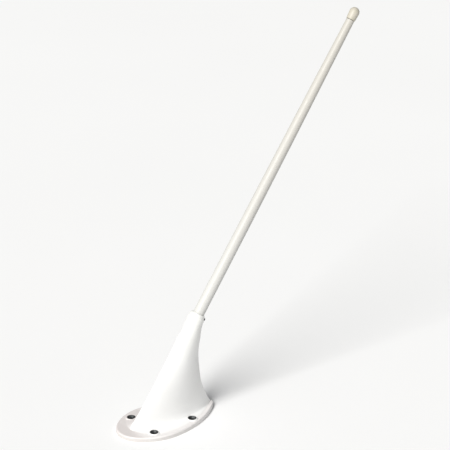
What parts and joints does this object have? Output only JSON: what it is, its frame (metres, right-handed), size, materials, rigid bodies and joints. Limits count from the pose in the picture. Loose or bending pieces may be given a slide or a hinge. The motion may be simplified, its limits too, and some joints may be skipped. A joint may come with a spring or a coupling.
{
  "type": "omnidirectional whip antenna",
  "caption": "Fixed VHF whip antenna: white moulded fin base with a teardrop flange, a bayonet coaxial jack below and a slender tapered whip that leans aft, with a cream tip cap.",
  "frame": {"origin": "centre of the rectangle of four mounting screws, on the flange's flat underside", "axes": "+Z away from the surface the antenna is bolted to, +X aft, the way the whip leans; the antenna is symmetric about the XZ plane; the coaxial jack points along -Z"},
  "size_m": [0.3617, 0.0784, 0.4815],
  "materials": {
    "white_moulding": "white gel-coated moulding, satin gloss with fine orange peel",
    "dark_bushing": "dark passivated steel, turned",
    "plate_aluminium": "bare sheet aluminium, brushed",
    "screw_steel": "plated steel",
    "black_rubber": "matt black rubber",
    "nickel_plate": "bright nickel plate",
    "white_insulator": "white fluoropolymer",
    "gold_contact": "gold-plated contact",
    "tinned_brass": "tinned brass sheet",
    "circuit_board": "green solder resist on glass fibre board",
    "ferrite": "sintered ferrite, matt grey black",
    "enamelled_copper": "enamelled copper wire",
    "dipped_mica": "dipped brown coating",
    "resistor_body": "tan lacquer",
    "tinned_wire": "tinned copper wire",
    "ferrule_brass": "turned brass",
    "black_steel": "black oxide steel",
    "grey_sealant": "light grey sealant",
    "whip_white": "white painted glass fibre tube",
    "bare_copper": "drawn copper rod",
    "foam_core": "closed-cell foam",
    "dark_plug": "moulded dark plastic",
    "cream_cap": "moulded cream plastic, softly glossy"
  },
  "bodies": {
    "root": {"fin_shell": "white_moulding", "screw_bushings": "dark_bushing", "base_plate": "plate_aluminium", "plate_screws": "screw_steel", "flange_seal": "black_rubber", "connector_shell": "nickel_plate", "connector_insulator": "white_insulator", "connector_contact": "gold_contact", "connector_gasket": "black_rubber", "ground_tag": "tinned_brass", "connector_washer": "screw_steel", "connector_nut": "nickel_plate", "board_bracket": "plate_aluminium", "bracket_screws": "screw_steel", "board_screws": "screw_steel", "matching_board": "circuit_board", "toroid_core": "ferrite", "toroid_winding": "enamelled_copper", "matching_capacitors": "dipped_mica", "drain_resistor": "resistor_body", "feed_wire": "tinned_wire", "ground_wire": "tinned_wire", "radiator_lead": "tinned_wire", "whip_ferrule": "ferrule_brass", "set_screws": "black_steel", "neck_ring": "grey_sealant", "whip_tube": "whip_white", "radiator": "bare_copper", "whip_core": "foam_core", "tip_plug": "dark_plug", "tip_cap": "cream_cap"}
  },
  "joints": []
}
